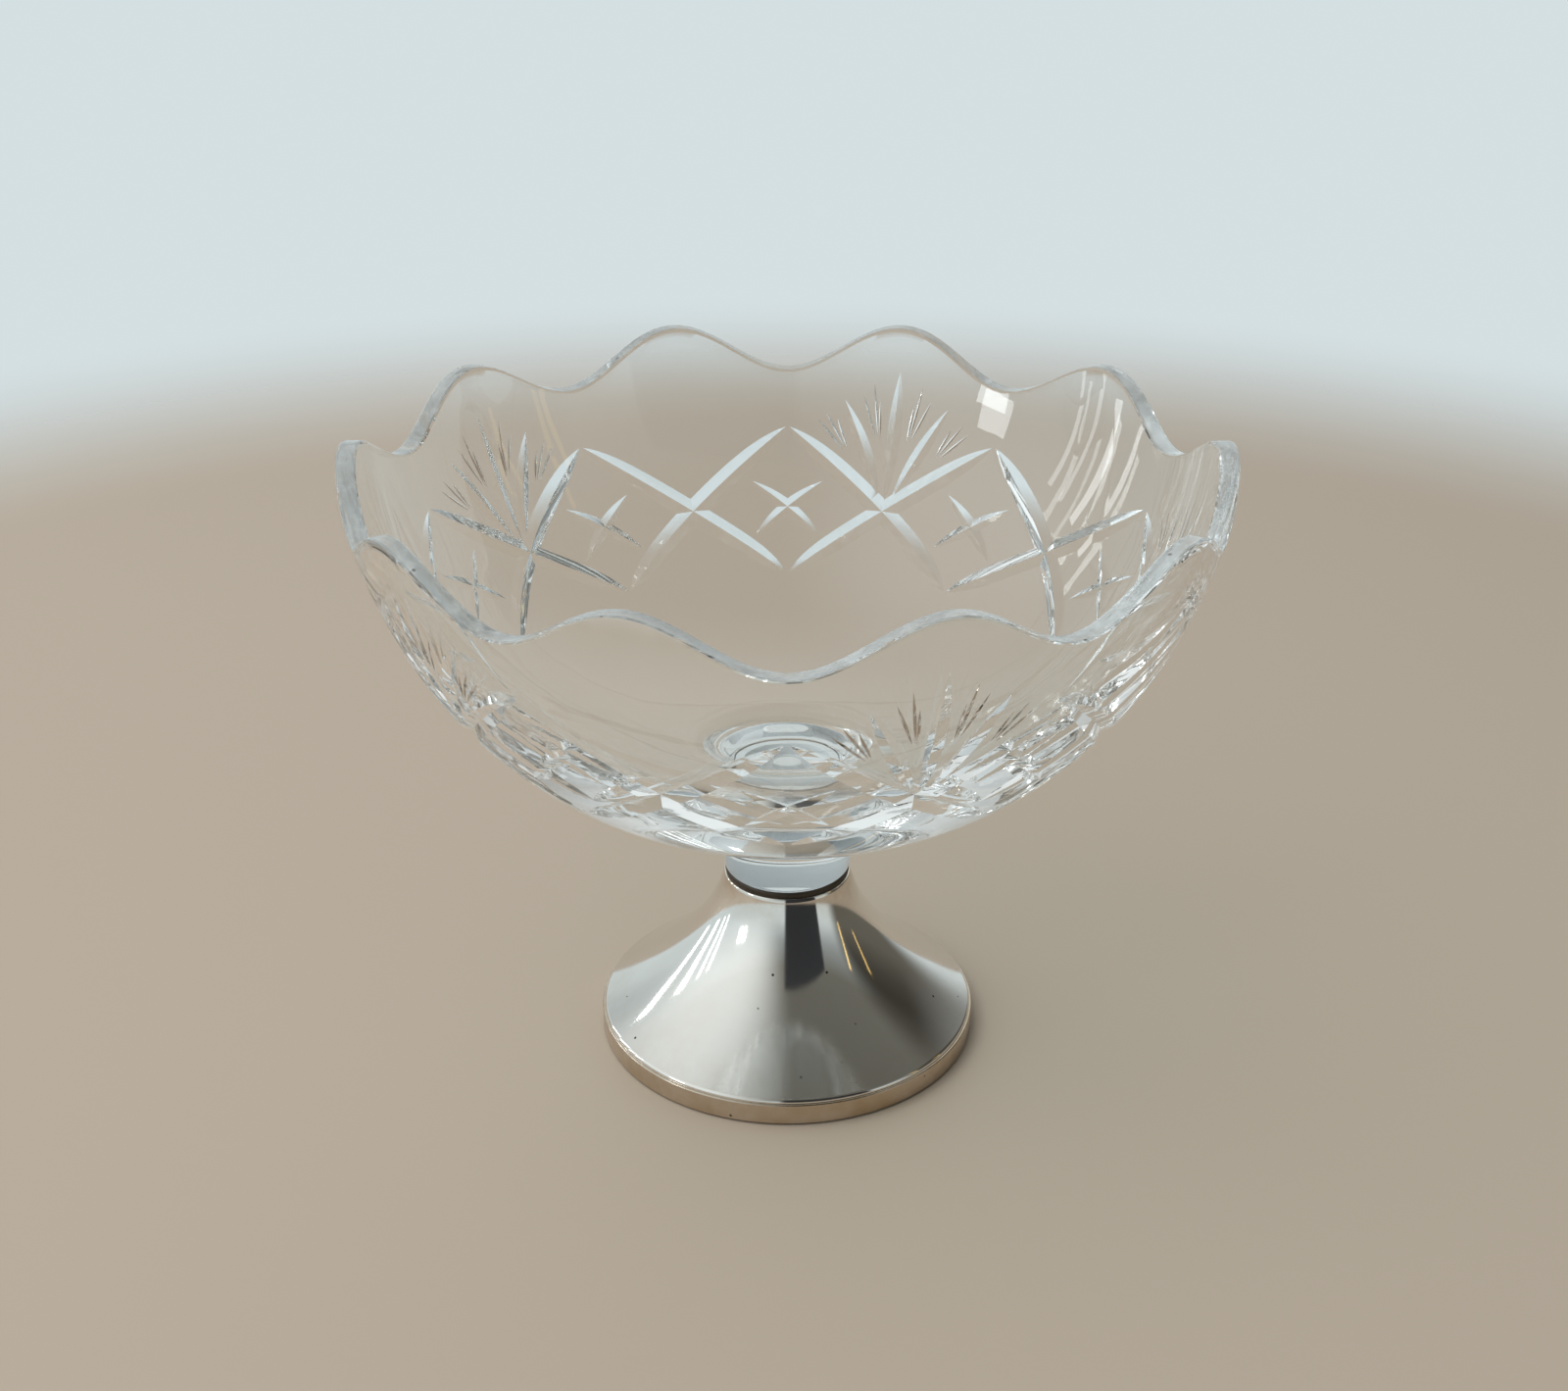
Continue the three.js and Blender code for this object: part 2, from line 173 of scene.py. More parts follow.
class StageLook(bpy.types.PropertyGroup):
    """Table, surroundings and lamps."""

    floor: colour("Table", "Plain table under the bowl", (0.54, 0.45, 0.365))
    surround: colour("Surroundings", "Pale wall all round", (0.66, 0.74, 0.76))
    ceiling: colour("Ceiling", "What the foot mirrors from above", (0.12, 0.12, 0.105))
    window: colour("Window", "Daylight from the side", (0.92, 0.98, 1.0))
    lamp: colour("Lamp", "Soft light from above", (1.0, 0.98, 0.95))
    lens: bpy.props.FloatProperty(
        name="Lens", description="Focal length in millimetres", default=49.14, min=1.0
    )
    camera_height: length("Camera Height", "Above the table", 0.2829)
    camera_distance: length("Camera Distance", "In front of the bowl's axis", 0.4145)
    camera_pitch: turn_angle("Camera Pitch", "Tilt from straight down", 64.12)


# Modelling, as at the bench


def settings():
    """The settings that the panel shows."""
    return bpy.context.scene.crystal_bowl


def take(piece):
    """Only this piece is selected and active."""
    bpy.ops.object.select_all(action="DESELECT")
    piece.select_set(True)
    bpy.context.view_layer.objects.active = piece
    return piece


def edit_whole():
    """Opens the active piece for editing with all of it selected."""
    bpy.ops.object.mode_set(mode="EDIT")
    bpy.ops.mesh.select_all(action="SELECT")


def turned(name, profile, columns, sharp=30):
    """Draws half the section of a piece point by point and spins it round the upright axis."""
    bpy.ops.object.select_all(action="DESELECT")
    radius, height = profile[0]
    bpy.ops.mesh.primitive_plane_add(size=MM, location=(0, 0, 0))
    piece = bpy.context.object
    piece.name = piece.data.name = name
    edit_whole()
    bpy.ops.mesh.merge(type="CENTER")
    bpy.ops.transform.translate(value=(radius, 0, height))
    for (r0, z0), (r1, z1) in zip(profile, profile[1:]):
        bpy.ops.mesh.extrude_region_move(TRANSFORM_OT_translate={"value": (r1 - r0, 0, z1 - z0)})
    bpy.ops.mesh.select_all(action="SELECT")
    if profile[0] == profile[-1]:
        bpy.ops.mesh.remove_doubles(threshold=TOUCHING)
    bpy.ops.mesh.spin(
        steps=columns, angle=2 * math.pi, center=(0, 0, 0), axis=(0, 0, 1), use_auto_merge=True
    )
    bpy.ops.mesh.select_all(action="SELECT")
    bpy.ops.mesh.remove_doubles(threshold=TOUCHING)
    bpy.ops.mesh.normals_make_consistent(inside=False)
    bpy.ops.object.mode_set(mode="OBJECT")
    bpy.ops.object.shade_smooth_by_angle(angle=math.radians(sharp))
    return piece


def arc(centre, radius, start, end, steps):
    """Points of an arc in the section, angles in degrees from straight out."""
    points = []
    for i in range(steps + 1):
        angle = math.radians(start + (end - start) * i / steps)
        points.append((centre[0] + radius * math.cos(angle), centre[1] + radius * math.sin(angle)))
    return points


def rows(count, point_at):
    """Points along a curve, given for a share from 0 to 1 of its length."""
    return [point_at(i / count) for i in range(count + 1)]


def cut_away(piece, cutter):
    """Takes the cutter out of the piece. The cut faces keep the cutter's finish."""
    take(piece)
    tool = piece.modifiers.new("Cut", "BOOLEAN")
    tool.operation = "DIFFERENCE"
    tool.solver = "MANIFOLD"
    tool.object = cutter
    tool.material_mode = "TRANSFER"
    bpy.ops.object.modifier_apply(modifier=tool.name)
    bpy.data.meshes.remove(cutter.data)


def dress(piece, *materials):
    """Gives the piece its finishes."""
    piece.data.materials.clear()
    for material in materials:
        piece.data.materials.append(material)


def seat(piece, slot, *nodes):
    """Fixes the piece to the bowl in place of its plain solids."""
    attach(piece, "root")
    if nodes:
        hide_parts(*nodes)


def fit(name, section, look, slot, node, columns=METAL_COLUMNS, **options):
    """Turns a piece, gives it its finish and seats it."""
    piece = turned(name, section, columns, **options)
    dress(piece, finish(look))
    seat(piece, slot, node)
    return {"FINISHED"}


# The side of the bowl is the lower part of a superellipse
SIDE_SHARE = 0.816
SIDE_POWER = 1.84
SIDE_ROUNDNESS = 2.46
WHOLE_SIDE = 1 - (1 - SIDE_SHARE) ** SIDE_POWER


def side_curve(height_share):
    """Radius of the side, as a share of the rim's."""
    part = 1 - (1 - SIDE_SHARE * max(0.0, height_share)) ** SIDE_POWER
    return (part / WHOLE_SIDE) ** (1 / SIDE_ROUNDNESS)


def side_share(radius_share):
    """The same curve read the other way."""
    part = WHOLE_SIDE * radius_share**SIDE_ROUNDNESS
    return (1 - (1 - part) ** (1 / SIDE_POWER)) / SIDE_SHARE


class Side:
    """Outside and inside of the bowl's wall, from its sizes."""

    def __init__(self, sizes):
        self.sizes = sizes
        self.rim_height = sizes.underside + sizes.bowl_depth
        self.floor_height = sizes.underside + sizes.floor_thickness

    def outside(self, height):
        """Outer radius at a height."""
        s = self.sizes
        return s.rim_radius * side_curve((height - s.underside) / s.bowl_depth)

    def inside(self, height):
        """Inner radius at a height."""
        depth = self.rim_height - self.floor_height
        return (self.sizes.rim_radius - self.sizes.rim_wall) * side_curve(
            (height - self.floor_height) / depth
        )

    def point(self, angle, height):
        """Point on the outside at an angle from the front."""
        radius = self.outside(height)
        return Vector((radius * math.sin(angle), -radius * math.cos(angle), height))

    def normal(self, angle, height):
        """Direction straight out of the outside there."""
        step = 0.1 * MM
        slope = (self.outside(height + step) - self.outside(height - step)) / (2 * step)
        return Vector((math.sin(angle), -math.cos(angle), -slope)).normalized()


SWEEP_ROWS = 18
OUTSIDE_ROWS = 64
INSIDE_ROWS = 56
OUTSIDE_CROWDING = 1.65
INSIDE_CROWDING = 2.2
STRAIGHT_ENDS = 0.7  # the stub's side is straight up to this share of the sweep below the bowl


def blank_section(sizes, side):
    """Half the section of the glass: socket, peg, stub, sweep, outside, edge and inside."""
    s = sizes
    peg_bottom = BOX["crystal_bowl"][0].z
    socket_top = s.underside - s.socket_roof
    straight = s.underside - s.shoulder - s.stub_flare * STRAIGHT_ENDS
    lean = math.atan2(s.stub_spread, straight)
    sweep_radius = s.stub_radius + s.stub_spread + s.stub_flare * math.cos(lean)
    sweep_top = s.underside + s.bowl_depth * side_share(sweep_radius / s.rim_radius)
    bevel_height = side.rim_height - s.rim_bevel
    shoulder_round = 1.1 * MM

    def sweep_point(t):
        turn = lean + t * (math.pi / 2 - lean)
        return (
            sweep_radius - s.stub_flare * math.cos(turn),
            sweep_top - s.stub_flare * (1 - math.sin(turn)),
        )

    def outside_point(t):
        height = sweep_top + (bevel_height - sweep_top) * t**OUTSIDE_CROWDING
        return side.outside(height), height

    def inside_point(t):
        height = side.floor_height + (bevel_height - side.floor_height) * (1 - t) ** INSIDE_CROWDING
        return side.inside(height), height

    shoulder_centre = (s.stub_radius - shoulder_round, s.shoulder + shoulder_round)
    outer = side.outside(side.rim_height)
    inner = side.inside(side.rim_height)
    cut = s.rim_bevel * BEVEL_SHARE
    edge = [
        (outer - cut, side.rim_height - cut),
        (outer - s.rim_bevel, side.rim_height),
        ((outer + inner) / 2, side.rim_height),
        (inner + s.rim_bevel, side.rim_height),
        (inner + cut, side.rim_height - cut),
    ]
    return [
        (0, socket_top),
        (s.socket_radius, socket_top),
        (s.socket_radius, peg_bottom),
        (s.peg_radius, peg_bottom),
        (s.peg_radius, s.shoulder),
        *arc(shoulder_centre, shoulder_round, -90, 0, CORNER_STEPS),
        *rows(SWEEP_ROWS, sweep_point),
        *rows(OUTSIDE_ROWS, outside_point)[1:],
        *edge,
        *rows(INSIDE_ROWS, inside_point),
    ]


def draw_scallops(piece, sizes, side):
    """Draws the upper rows up and down along the wall to the scalloped edge."""
    half = sizes.scallop_height / 2
    for vertex in piece.data.vertices:
        co = vertex.co
        part = 1 - (side.rim_height - co.z) / sizes.scallop_reach
        if part <= 0:
            continue
        wave = -half * math.cos(sizes.lobes * math.atan2(co.x, -co.y))
        height = co.z + part * wave
        middle = (side.outside(co.z) + side.inside(co.z)) / 2
        wall = side.outside if math.hypot(co.x, co.y) > middle else side.inside
        drawn = wall(height) / wall(co.z)
        vertex.co = (co.x * drawn, co.y * drawn, height)
    piece.data.update()


LIFT = 0.6 * MM  # the cutting bar stands this far out of the glass
RUN_OUT = 0.1 * MM  # the wheel has left the glass by this much at each end of a cut
KEEL = 0.5  # the corner of the bar's section that cuts lies above this share of its depth
STRIDE = 0.01  # the bar's heading is taken from the path this share before and after a place


def mitre_bar(side, wheel_angle, path, depth, steps, fullness, look):
    """A V-shaped bar laid along a path on the outside, its keel rising out at both ends."""
    bpy.ops.object.select_all(action="DESELECT")
    bpy.ops.mesh.primitive_circle_add(vertices=3, radius=1, fill_type="NGON")
    bar = bpy.context.object
    edit_whole()
    for _ in range(steps):
        bpy.ops.mesh.extrude_region_move(TRANSFORM_OT_translate={"value": (0, 0, 1 / steps)})
    bpy.ops.object.mode_set(mode="OBJECT")
    flank = math.tan(wheel_angle / 2)
    for vertex in bar.data.vertices:
        t = vertex.co.z
        place, normal = side.point(*path(t)), side.normal(*path(t))
        along = side.point(*path(t + STRIDE)) - side.point(*path(t - STRIDE))
        sideways = normal.cross(along).normalized()
        keel = depth - (depth + RUN_OUT) * abs(2 * t - 1) ** fullness
        if vertex.co.y > KEEL:
            vertex.co = place - normal * keel
        else:
            reach = math.copysign((LIFT + keel) * flank, vertex.co.x)
            vertex.co = place + normal * LIFT + sideways * reach
    edit_whole()
    bpy.ops.mesh.normals_make_consistent(inside=False)
    bpy.ops.object.mode_set(mode="OBJECT")
    bar.data.materials.append(look)
    return bar


def repeat_round(bar, count):
    """Copies the bar round the axis and joins the copies to it."""
    copies = []
    for i in range(1, count):
        copy = bar.copy()
        copy.data = bar.data.copy()
        copy.rotation_euler.z = 2 * math.pi * i / count
        bpy.context.collection.objects.link(copy)
        copies.append(copy)
    take(bar)
    for copy in copies:
        copy.select_set(True)
    if copies:
        bpy.ops.object.join()
    bpy.ops.object.transform_apply(location=True, rotation=True, scale=True)
    return bar


# Strokes of one side of a fan: degrees from its middle, and shares of the height between the
# crossing and the edge, from where to where.
MIDDLE_LEAF = ((0, 0.03), (0, 0.87))
SIDE_LEAF = ((0.9, 0.05), (8.9, 0.67))
FINE_LINES = (
    ((2.3, 0.4), (2.9, 0.67)),
    ((2.5, 0.4), (4.1, 0.79)),
    ((2.8, 0.41), (5.9, 0.71)),
    ((7.6, 0.34), (9.9, 0.55)),
    ((7.8, 0.34), (12.0, 0.59)),
    ((8.0, 0.33), (13.4, 0.54)),
)


class Pattern:
    """Paths of the cuts, each giving an angle and a height for a share of its length."""

    def __init__(self, sizes, cutting, side):
        self.lobe = 2 * math.pi / sizes.lobes
        self.cutting = cutting
        self.apex = side.rim_height - cutting.apex_drop
        self.foot = sizes.underside + cutting.point_rise
        self.crossing = self.foot + cutting.crossing_share * (self.apex - self.foot)
        self.rise = side.rim_height - self.crossing

    def diamond(self, lean):
        """From an apex, through a crossing half a lobe on, to a foot a lobe on."""
        bow = self.crossing - (self.apex + self.foot) / 2
        return lambda t: (
            lean * self.lobe * t,
            self.apex + (self.foot - self.apex) * t + 4 * bow * t * (1 - t),
        )

    def star(self, lean):
        """One arm of the small cross in a diamond."""
        return lambda t: (
            lean * self.cutting.star_turn * (2 * t - 1),
            self.crossing + self.cutting.star_rise * (2 * t - 1),
        )

    def stroke(self, lean, ends):
        """One stroke of a fan."""
        (a0, h0), (a1, h1) = ends
        return lambda t: (
            self.lobe / 2 + lean * math.radians(a0 + (a1 - a0) * t),
            self.crossing + self.rise * (h0 + (h1 - h0) * t),
        )


LEAF_STEPS = 16
LINE_STEPS = 12
MITRE_STEPS = 30
STAR_STEPS = 14
EVEN = 5  # a cut with this fullness is about as deep along most of its length
TAPERED = 2  # and with this one it is deepest in the middle


def cut_pattern(piece, sizes, cutting, side):
    """Cuts the diamonds, their small crosses and the fans into the outside."""
    pattern = Pattern(sizes, cutting, side)
    broad, narrow = cutting.wheel_angle, cutting.line_angle
    lobes, fans = sizes.lobes, cutting.fans
    polished, fine = finish("Cut crystal"), finish("Fine cuts")
    mitre = (cutting.mitre_depth, broad, MITRE_STEPS, EVEN, lobes, polished)
    arm = (cutting.star_depth, broad, STAR_STEPS, TAPERED, lobes, polished)
    leaf = (cutting.leaf_depth, broad, LEAF_STEPS, TAPERED, fans, polished)
    line = (cutting.line_depth, narrow, LINE_STEPS, TAPERED, fans, fine)
    cuts = []
    for lean in (-1, 1):
        cuts.append((pattern.diamond(lean), mitre))
        cuts.append((pattern.star(lean), arm))
        cuts.append((pattern.stroke(lean, SIDE_LEAF), leaf))
        for ends in FINE_LINES:
            cuts.append((pattern.stroke(lean, ends), line))
    cuts.append((pattern.stroke(1, MIDDLE_LEAF), leaf))
    for path, (depth, angle, steps, fullness, count, look) in cuts:
        bar = mitre_bar(side, angle, path, depth, steps, fullness, look)
        cut_away(piece, repeat_round(bar, count))


# Node work

NODES_IN_A_ROW = 8
NODE_SPACING = 250


def feed(tree, target, value):
    """Wires a socket to the target, or sets the target to a plain number or colour."""
    if isinstance(value, bpy.types.NodeSocket):
        tree.links.new(value, target)
    else:
        target.default_value = (*value, 1) if target.type == "RGBA" else value


def fill(tree, node, **inputs):
    """Feeds a node's inputs by name."""
    for key, value in inputs.items():
        feed(tree, node.inputs[key.replace("_", " ")], value)


def put(tree, kind, options=None, **inputs):
    """Adds a node in the next place of a grid, with its options, and feeds its inputs."""
    row, column = divmod(len(tree.nodes), NODES_IN_A_ROW)
    made = tree.nodes.new(kind)
    made.location = (NODE_SPACING * (column - NODES_IN_A_ROW), -NODE_SPACING * row)
    for key, value in (options or {}).items():
        setattr(made, key, value)
    fill(tree, made, **inputs)
    return made


def reckon(tree, operation, *values, kind="ShaderNodeMath", result="Value"):
    """The result of one sum on sockets or plain numbers."""
    made = put(tree, kind, {"operation": operation})
    for target, value in zip(made.inputs, values):
        feed(tree, target, value)
    return made.outputs[result]


def reckon_vectors(tree, operation, *values):
    """The same for vectors. The result is a number where the operation gives one."""
    result = "Value" if operation in {"DOT_PRODUCT", "LENGTH"} else "Vector"
    return reckon(tree, operation, *values, kind="ShaderNodeVectorMath", result=result)


def noise(tree, vector, **inputs):
    """Cloudy noise over coordinates."""
    return put(tree, "ShaderNodeTexNoise", Vector=vector, **inputs).outputs["Fac"]


def spread(tree, source, options=None, **ends):
    """A number carried from one range to another, in a straight line if no option is given."""
    return put(tree, "ShaderNodeMapRange", options, Value=source, **ends).outputs["Result"]


def rise(tree, source, **ends):
    """The same with a soft start and end."""
    return spread(tree, source, {"interpolation_type": "SMOOTHSTEP"}, **ends)


def split(tree, vector):
    """The X, Y and Z of a vector."""
    return put(tree, "ShaderNodeSeparateXYZ", Vector=vector).outputs


def ramp(tree, stops, source):
    """A colour ramp from stops of (place, grey or colour), fed by a socket."""
    made = put(tree, "ShaderNodeValToRGB", Fac=source)
    band = made.color_ramp
    while len(band.elements) < len(stops):
        band.elements.new(0.5)
    for element, (place, tint) in zip(band.elements, stops):
        element.position = place
        element.color = (*tint, 1) if isinstance(tint, tuple) else (tint, tint, tint, 1)
    return made.outputs["Color"]


def tint_between(tree, mask, first, second):
    """A colour that runs between two colours with a mask."""
    mix = put(tree, "ShaderNodeMix", {"data_type": "RGBA"})
    for place, value in ((0, mask), (6, first), (7, second)):
        feed(tree, mix.inputs[place], value)
    return mix.outputs[2]


def toned(tint, factor):
    """The colour times a number, no brighter than white."""
    return tuple(min(1.0, factor * c) for c in tint)


def group(name, inputs, output):
    """An empty node group with its sockets, and the end that its result goes to."""
    tree = bpy.data.node_groups.new(name, "ShaderNodeTree")
    face = tree.interface
    face.new_socket(name="Vector", in_out="INPUT", socket_type="NodeSocketVector")
    for label, default in inputs.items():
        made = face.new_socket(name=label, in_out="INPUT", socket_type="NodeSocketFloat")
        made.default_value = default
    face.new_socket(name=output, in_out="OUTPUT", socket_type="NodeSocketFloat")
    start = put(tree, "NodeGroupInput")
    end = put(tree, "NodeGroupOutput")
    return tree, start.outputs, end.inputs[output]


def mottling_group():
    """Clouded unevenness at two scales, as one mask."""
    tree, given, end = group("Mottling", {"Scale": 60.0}, "Mask")
    vector, scale = given["Vector"], given["Scale"]
    finer = reckon(tree, "MULTIPLY", scale, 6.0)
    broad = noise(tree, vector, Scale=scale, Detail=3.0, Roughness=0.55)
    fine = noise(tree, vector, Scale=finer, Detail=4.0, Roughness=0.6)
    both = reckon(tree, "MULTIPLY_ADD", fine, 0.35, broad)
    feed(tree, end, spread(tree, both, From_Min=0.45, From_Max=0.9))
    return tree


def specks_group():
    """Sparse small spots: the middles of a few of many cells."""
    tree, given, end = group("Specks", {"Scale": 250.0, "Size": 0.12}, "Mask")
    cells = put(tree, "ShaderNodeTexVoronoi", Vector=given["Vector"], Scale=given["Scale"])
    chance = put(tree, "ShaderNodeSeparateColor", Color=cells.outputs["Color"])
    few = reckon(tree, "GREATER_THAN", chance.outputs[0], 0.86)
    near = reckon(tree, "LESS_THAN", cells.outputs["Distance"], given["Size"])
    feed(tree, end, reckon(tree, "MULTIPLY", few, near))
    return tree


def spun_lines_group():
    """Fine rings left by spinning and polishing, from the distance to the neck."""
    tree, given, end = group("Spun Lines", {"Lines": 2500.0}, "Height")
    parts = split(tree, given["Vector"])
    flat = put(tree, "ShaderNodeCombineXYZ", X=parts["X"], Y=parts["Y"])
    radius = reckon_vectors(tree, "LENGTH", flat.outputs[0])
    along = reckon(tree, "SUBTRACT", radius, parts["Z"])
    rings = put(
        tree, "ShaderNodeTexNoise", {"noise_dimensions": "1D"},
        W=along, Scale=given["Lines"], Detail=2.0, Roughness=0.7,
    )
    feed(tree, end, rings.outputs["Fac"])
    return tree


GROUP_MAKERS = {
    "Mottling": mottling_group,
    "Specks": specks_group,
    "Spun Lines": spun_lines_group,
}


def place_group(tree, name, vector, **inputs):
    """The result of a node group on the piece's coordinates. The group is built only once."""
    options = {"node_tree": bpy.data.node_groups.get(name) or GROUP_MAKERS[name]()}
    return put(tree, "ShaderNodeGroup", options, Vector=vector, **inputs).outputs[0]


def new_material(name, **inputs):
    """A node material whose shader takes plain values, and its object coordinates."""
    material = bpy.data.materials.new(name)
    material.use_nodes = True
    tree = material.node_tree
    shader = tree.nodes["Principled BSDF"]
    shader.location.x = NODE_SPACING
    tree.nodes["Material Output"].location.x = 3 * NODE_SPACING
    fill(tree, shader, **inputs)
    coords = put(tree, "ShaderNodeTexCoord")
    return material, tree, shader, coords.outputs["Object"]


def rough_between(tree, shader, mask, low, high):
    """Roughness that runs between two values with a mask."""
    fill(tree, shader, Roughness=spread(tree, mask, To_Min=low, To_Max=high))


def clouded(tree, shader, mask, tint, shade, low, high):
    """Colour and roughness that both run with a mask."""
    fill(tree, shader, Base_Color=tint_between(tree, mask, tint, toned(tint, shade)))
    rough_between(tree, shader, mask, low, high)


def bump(tree, height, distance, **under):
    """A normal bent by a height of this many metres, on top of another normal if there is one."""
    made = put(tree, "ShaderNodeBump", Height=height, Distance=distance, **under)
    return made.outputs["Normal"]


def mix_shaders(tree, mask, first, second):
    """Sends the output one shader or the other by a mask."""
    mix = put(tree, "ShaderNodeMixShader")
    for target, value in zip(mix.inputs, (mask, first.outputs[0], second.outputs[0])):
        feed(tree, target, value)
    feed(tree, tree.nodes["Material Output"].inputs["Surface"], mix.outputs[0])


GLASS_INDEX = 1.545  # lead crystal
LIGHT_THROUGH_GLASS = (0.9, 0.925, 0.92)


def clear_to_lamps(tree, shader):
    """Lets lamps reach what is behind the glass, so that it throws a light shadow."""
    path = put(tree, "ShaderNodeLightPath").outputs
    either = reckon(tree, "MAXIMUM", path["Is Shadow Ray"], path["Is Diffuse Ray"])
    clear = put(tree, "ShaderNodeBsdfTransparent", Color=LIGHT_THROUGH_GLASS)
    mix_shaders(tree, either, shader, clear)


def crystal_material(name, tint, low, high, waves):
    """Clear lead glass, very slightly uneven and drawn out upwards."""
    material, tree, shader, coords = new_material(
        name, Base_Color=tint, IOR=GLASS_INDEX, Transmission_Weight=1.0
    )
    cloud = place_group(tree, "Mottling", coords, Scale=35.0)
    rough_between(tree, shader, cloud, low, high)
    upright = put(tree, "ShaderNodeMapping", Vector=coords, Scale=(1.0, 1.0, 0.12))
    drawn = noise(tree, upright.outputs["Vector"], Scale=150.0, Detail=1.0)
    soft = bump(tree, drawn, 0.1 * waves)
    wave = noise(tree, coords, Scale=38.0, Detail=1.0)
    fill(tree, shader, Normal=bump(tree, wave, waves, Normal=soft))
    clear_to_lamps(tree, shader)
    return material


def ground_glass_material(name, tint):
    """The edge as the grinding left it: satin, blotched and see-through in places."""
    material, tree, shader, coords = new_material(name, IOR=GLASS_INDEX, Transmission_Weight=0.8)
    cloud = place_group(tree, "Mottling", coords, Scale=260.0)
    patches = ramp(tree, ((0.1, 0.0), (0.45, 1.0)), cloud)
    aged = tint_between(tree, patches, tint, toned(tint, 0.7))
    specks = place_group(tree, "Specks", coords, Scale=420.0, Size=0.16)
    fill(tree, shader, Base_Color=tint_between(tree, specks, aged, (0.1, 0.09, 0.08)))
    rough_between(tree, shader, patches, 0.26, 0.09)
    grit = noise(tree, coords, Scale=1500.0, Detail=3.0)
    fill(tree, shader, Normal=bump(tree, grit, 0.06 * MM))
    clear_to_lamps(tree, shader)
    return material


def cast_material(name, tint, scale, shade, low, high, pores, depth):
    """White cement or the cast filling: faint clouds, and pores or a lumpy skin."""
    material, tree, shader, coords = new_material(name)
    cloud = place_group(tree, "Mottling", coords, Scale=scale)
    clouded(tree, shader, cloud, tint, shade, low, high)
    height = noise(tree, coords, Scale=pores, Detail=3.0) if pores else cloud
    fill(tree, shader, Normal=bump(tree, height, depth))
    return material


FILM_HEIGHT = 0.04  # the ramps of the warm film run over this height


def silver_material(name, silver, tarnish, film, low, high):
    """Polished plate: spun rings, clouded polish, a warm film at the edges and small specks. On the
    band the film and the darker colour are partly painted reflection of a darker table.
    """
    material, tree, shader, coords = new_material(name, Metallic=1.0)
    cloud = place_group(tree, "Mottling", coords, Scale=70.0)
    height = split(tree, coords)["Z"]
    share_up = reckon(tree, "MULTIPLY", height, 1 / FILM_HEIGHT)
    edges = ramp(tree, film, share_up)
    both = reckon(tree, "MULTIPLY", edges, cloud)
    aged = tint_between(tree, both, silver, tarnish)
    specks = place_group(tree, "Specks", coords, Scale=330.0, Size=0.1)
    fill(tree, shader, Base_Color=tint_between(tree, specks, aged, (0.12, 0.1, 0.08)))
    rough_between(tree, shader, cloud, low, high)
    dents = noise(tree, coords, Scale=55.0, Detail=1.0)
    soft = bump(tree, dents, 0.05 * MM)
    lines = place_group(tree, "Spun Lines", coords, Lines=2600.0)
    fill(tree, shader, Normal=bump(tree, lines, 0.002 * MM, Normal=soft))
    return material


def dull_metal_material(name, tint, low, high):
    """Dull or darkened metal with a clouded surface."""
    material, tree, shader, coords = new_material(name, Metallic=0.85)
    cloud = place_group(tree, "Mottling", coords, Scale=160.0)
    clouded(tree, shader, cloud, tint, 1.7, low, high)
    lines = place_group(tree, "Spun Lines", coords, Lines=3500.0)
    fill(tree, shader, Normal=bump(tree, lines, 0.02 * MM))
    return material


def felt_material(name, tint):
    """Wool felt: short crossed fibres and a soft sheen."""
    material, tree, shader, coords = new_material(name, Sheen_Weight=0.3)
    fibres = noise(tree, coords, Scale=1800.0, Detail=6.0, Roughness=0.75)
    clouded(tree, shader, fibres, tint, 1.9, 0.85, 1.0)
    fill(tree, shader, Normal=bump(tree, fibres, 0.25 * MM))
    return material


# Places on the warm film's ramps, from the table to the neck, and how much film is there. On the
# band the film is partly tarnish and partly painted shade for the darker table it mirrors.
NECK_FILM = ((0.0, 0.0), (0.15, 0.25), (0.3, 0.1), (0.8, 0.1), (0.97, 0.7))
BAND_FILM_AND_PAINTED_SHADE = ((0.0, 1.0), (0.15, 0.8), (0.3, 0.4))


def finish(name):
    """One of the bowl's finishes, made the first time it is asked for."""
    made = bpy.data.materials.get(name)
    if made is not None:
        return made
    tints = settings().finishes
    makers = {
        "Clear crystal": (crystal_material, tints.crystal, 0.0, 0.015, 0.16 * MM),
        "Cut crystal": (crystal_material, tints.crystal, 0.0, 0.03, 0.02 * MM),
        "Fine cuts": (crystal_material, tints.fine_cuts, 0.02, 0.1, 0.02 * MM),
        "Ground glass": (ground_glass_material, tints.ground_glass),
        "White cement": (
            cast_material, tints.cement, 120.0, 0.93, 0.75, 0.95, 1400.0, 0.05 * MM
        ),
        "Cast filling": (cast_material, tints.filling, 90.0, 0.7, 0.8, 0.98, None, 0.2 * MM),
        "Silver plate": (silver_material, tints.silver, tints.tarnish, NECK_FILM, 0.04, 0.1),
        "Silver band": (silver_material, tints.band, tints.tarnish, BAND_FILM_AND_PAINTED_SHADE, 0.1, 0.24),
        "Dark collar": (dull_metal_material, tints.collar, 0.35, 0.6),
        "Sheet metal": (dull_metal_material, tints.plate, 0.4, 0.6),
        "Wool felt": (felt_material, tints.felt),
    }
    maker, *given = makers[name]
    return maker(name, *given)


# Pieces

LEVEL = 0.8  # the ground faces of the edge point up at least this much
CUT_SHARP = 20  # degrees between faces from which the cut glass shows a crease


